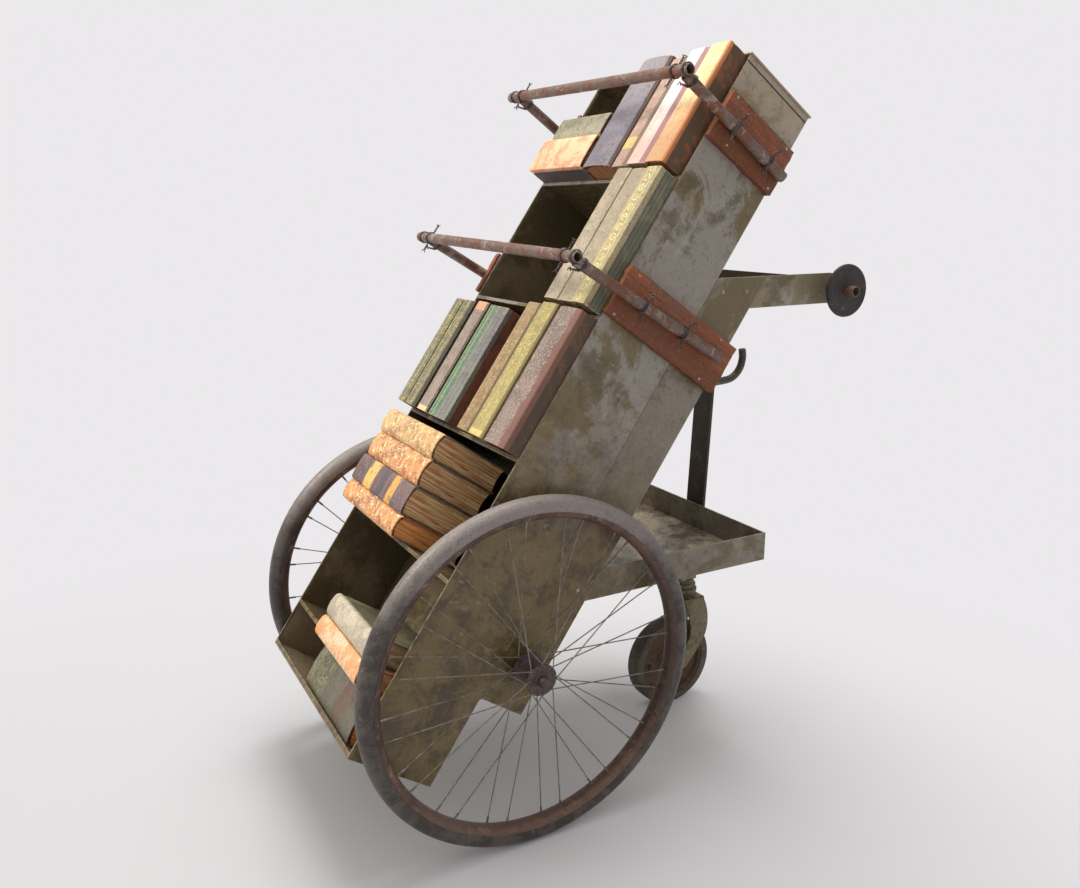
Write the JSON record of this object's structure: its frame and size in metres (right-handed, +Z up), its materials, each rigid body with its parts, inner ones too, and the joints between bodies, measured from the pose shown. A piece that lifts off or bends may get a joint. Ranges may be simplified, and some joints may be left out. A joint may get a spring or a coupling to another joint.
{
  "type": "book cart",
  "caption": "Leaning open-fronted steel bookcase on two large spoked wheels and a rear swivel caster, with pipe rails, a tray, a hook and a push handle.",
  "frame": {"origin": "middle of the whole cart on the floor", "axes": "+Z up, +X across the cart to its near wheel along the axle, -Y to the open front of the case, +Y to the push handle"},
  "size_m": [0.676, 1.097, 1.4287],
  "materials": {
    "case_steel": "worn grey-olive paint",
    "frame_steel": "worn grey-olive paint",
    "board_wood": "rusty red paint on wood",
    "rail_pipe": "rusty pipe",
    "dark_steel": "dark oxide",
    "disc_rubber": "matt",
    "wheel_steel": "dull",
    "rim_rust": "rusty",
    "tyre_rubber": "matt",
    "caster_steel": "worn",
    "book_block": "cloth and paper"
  },
  "bodies": {
    "cart": {"side_panel_near": "case_steel", "side_panel_far": "case_steel", "back_panel": "case_steel", "top_panel": "case_steel", "bottom_panel": "case_steel", "shelf_1": "case_steel", "shelf_2": "case_steel", "shelf_3": "case_steel", "shelf_4": "case_steel", "shelf_5": "case_steel", "spine_plate_near": "frame_steel", "spine_plate_far": "frame_steel", "handle_arm_near": "frame_steel", "handle_arm_far": "frame_steel", "arm_cross_plate": "frame_steel", "tray": "frame_steel", "caster_riser": "frame_steel", "board_upper_near": "board_wood", "board_upper_far": "board_wood", "board_lower_near": "board_wood", "board_lower_far": "board_wood", "rail_upper_cross": "rail_pipe", "rail_lower_cross": "rail_pipe", "rail_upper_side_near": "rail_pipe", "rail_upper_side_far": "rail_pipe", "rail_lower_side_near": "rail_pipe", "rail_lower_side_far": "rail_pipe", "handle_tube": "rail_pipe", "rear_post": "dark_steel", "hook": "dark_steel", "wheel_axle": "wheel_steel", "caster_collar": "caster_steel", "book_great_volume": "book_block", "book_orange": "book_block", "book_cream": "book_block", "books_stacked": "book_block", "books_standing_far": "book_block", "books_standing_near": "book_block", "books_middle": "book_block", "book_salmon": "book_block", "book_olive": "book_block", "books_top": "book_block"},
    "near_wheel": {"wheel_hub_near": "wheel_steel", "wheel_spokes_outer_near": "wheel_steel", "wheel_spokes_inner_near": "wheel_steel", "wheel_rim_near": "rim_rust", "wheel_tyre_near": "tyre_rubber"},
    "far_wheel": {"wheel_hub_far": "wheel_steel", "wheel_spokes_outer_far": "wheel_steel", "wheel_spokes_inner_far": "wheel_steel", "wheel_rim_far": "rim_rust", "wheel_tyre_far": "tyre_rubber"},
    "caster_swivel": {"caster_fork": "caster_steel", "caster_axle": "wheel_steel"},
    "caster_wheel": {"caster_core": "rim_rust", "caster_tyre": "tyre_rubber"},
    "near_disc": {"handle_disc_near": "disc_rubber"},
    "far_disc": {"handle_disc_far": "disc_rubber"}
  },
  "joints": [
    {"name": "near_wheel_spin", "type": "hinge", "parent": "cart", "child": "near_wheel", "pos_m": [0.2946, -0.2115, 0.332], "axis": [1, 0, 0], "continuous": true},
    {"name": "far_wheel_spin", "type": "hinge", "parent": "cart", "child": "far_wheel", "pos_m": [-0.2946, -0.2115, 0.332], "axis": [1, 0, 0], "continuous": true},
    {"name": "caster_turn", "type": "hinge", "parent": "cart", "child": "caster_swivel", "pos_m": [0, 0.3445, 0.27], "axis": [0, 0, 1], "continuous": true},
    {"name": "caster_wheel_spin", "type": "hinge", "parent": "caster_swivel", "child": "caster_wheel", "pos_m": [0, 0.3055, 0.104], "axis": [1, 0, 0], "continuous": true},
    {"name": "near_disc_spin", "type": "hinge", "parent": "cart", "child": "near_disc", "pos_m": [0.29, 0.4965, 0.979], "axis": [1, 0, 0], "continuous": true},
    {"name": "far_disc_spin", "type": "hinge", "parent": "cart", "child": "far_disc", "pos_m": [-0.29, 0.4965, 0.979], "axis": [1, 0, 0], "continuous": true}
  ]
}
